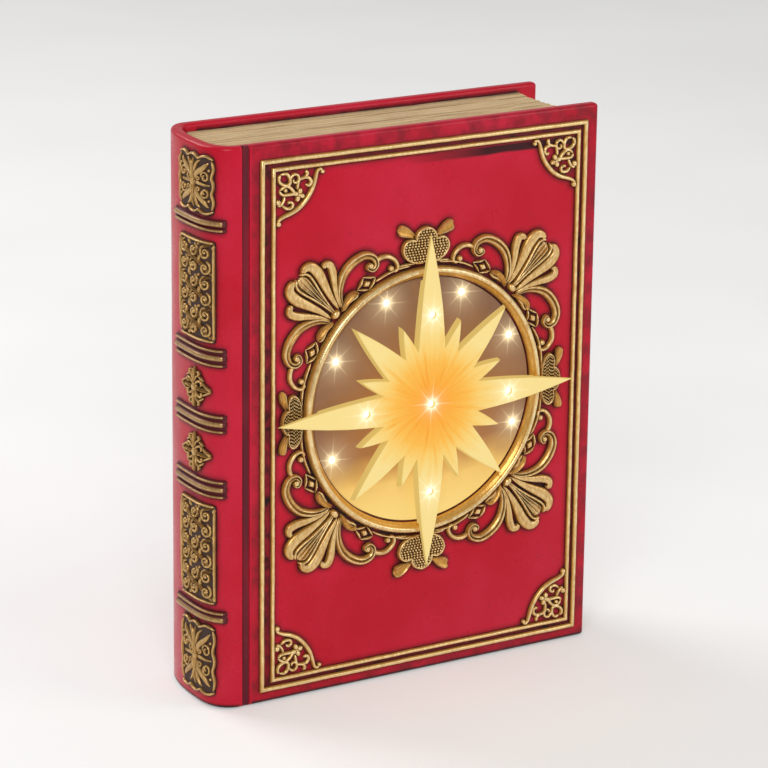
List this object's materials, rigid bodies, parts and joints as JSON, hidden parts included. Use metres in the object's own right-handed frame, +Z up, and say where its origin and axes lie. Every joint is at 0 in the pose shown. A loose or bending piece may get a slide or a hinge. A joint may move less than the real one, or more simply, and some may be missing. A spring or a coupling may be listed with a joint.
{
  "type": "book lamp",
  "caption": "Closed upright book with a lit round window, a raised star, relief ornament, and a hinged battery door and slide switch at the back.",
  "frame": {"origin": "middle of the bounding box's base, on the plane that the boards' lower edges stand on", "axes": "+X from the spine to the fore edge, +Y from the front cover to the back cover, +Z up"},
  "size_m": [0.1716, 0.055, 0.22],
  "materials": {
    "cover_resin": "satin",
    "page_resin": "matte",
    "gilt_resin": "satin",
    "window_plastic": "satin",
    "star_plastic": "satin",
    "led_lens": "gloss",
    "circuit_sheet": "satin",
    "black_plastic": "satin",
    "contact_steel": "satin",
    "cell_steel": "satin",
    "lead_sheath": "satin"
  },
  "bodies": {
    "book": {"battery_cell_1": "cell_steel", "battery_cell_2": "cell_steel", "battery_cell_3": "cell_steel", "battery_lead": "lead_sheath", "battery_tray": "black_plastic", "bezel_ring": "gilt_resin", "cell_spring_1": "contact_steel", "cell_spring_2": "contact_steel", "cell_spring_3": "contact_steel", "contact_bottom_pair": "contact_steel", "contact_bottom_single": "contact_steel", "contact_top_pair": "contact_steel", "contact_top_single": "contact_steel", "corner_scroll_bottom_left": "gilt_resin", "corner_scroll_bottom_right": "gilt_resin", "corner_scroll_top_left": "gilt_resin", "corner_scroll_top_right": "gilt_resin", "cover_case": "cover_resin", "crest_bottom": "gilt_resin", "crest_left": "gilt_resin", "crest_right": "gilt_resin", "crest_top": "gilt_resin", "door_hinge_pin": "contact_steel", "frame_line_inner": "gilt_resin", "frame_line_outer": "gilt_resin", "led_board": "circuit_sheet", "led_lead": "lead_sheath", "led_star_bottom": "led_lens", "led_star_centre": "led_lens", "led_star_left": "led_lens", "led_star_right": "led_lens", "led_star_top": "led_lens", "led_window_1": "led_lens", "led_window_2": "led_lens", "led_window_3": "led_lens", "led_window_4": "led_lens", "led_window_5": "led_lens", "led_window_6": "led_lens", "page_block": "page_resin", "palmette_bottom_left": "gilt_resin", "palmette_bottom_right": "gilt_resin", "palmette_top_left": "gilt_resin", "palmette_top_right": "gilt_resin", "spine_band_1": "gilt_resin", "spine_band_2": "gilt_resin", "spine_band_3": "gilt_resin", "spine_band_4": "gilt_resin", "spine_band_5": "gilt_resin", "spine_panel_1": "gilt_resin", "spine_panel_2": "gilt_resin", "spine_panel_3": "gilt_resin", "spine_panel_4": "gilt_resin", "spine_rosette_1": "gilt_resin", "spine_rosette_2": "gilt_resin", "star_relief": "star_plastic", "switch_housing": "contact_steel", "timer_board": "circuit_sheet", "window_cup": "window_plastic"},
    "battery_door": {"battery_door": "black_plastic"},
    "switch_knob": {"switch_knob": "black_plastic"}
  },
  "joints": [
    {"name": "battery_door_hinge", "type": "hinge", "parent": "book", "child": "battery_door", "pos_m": [0.0038, 0.0251, 0.0913], "axis": [1, 0, 0], "range_deg": [0, 90]},
    {"name": "switch_slide", "type": "slide", "parent": "book", "child": "switch_knob", "axis": [1, 0, 0], "range_m": [0, 0.005]}
  ]
}
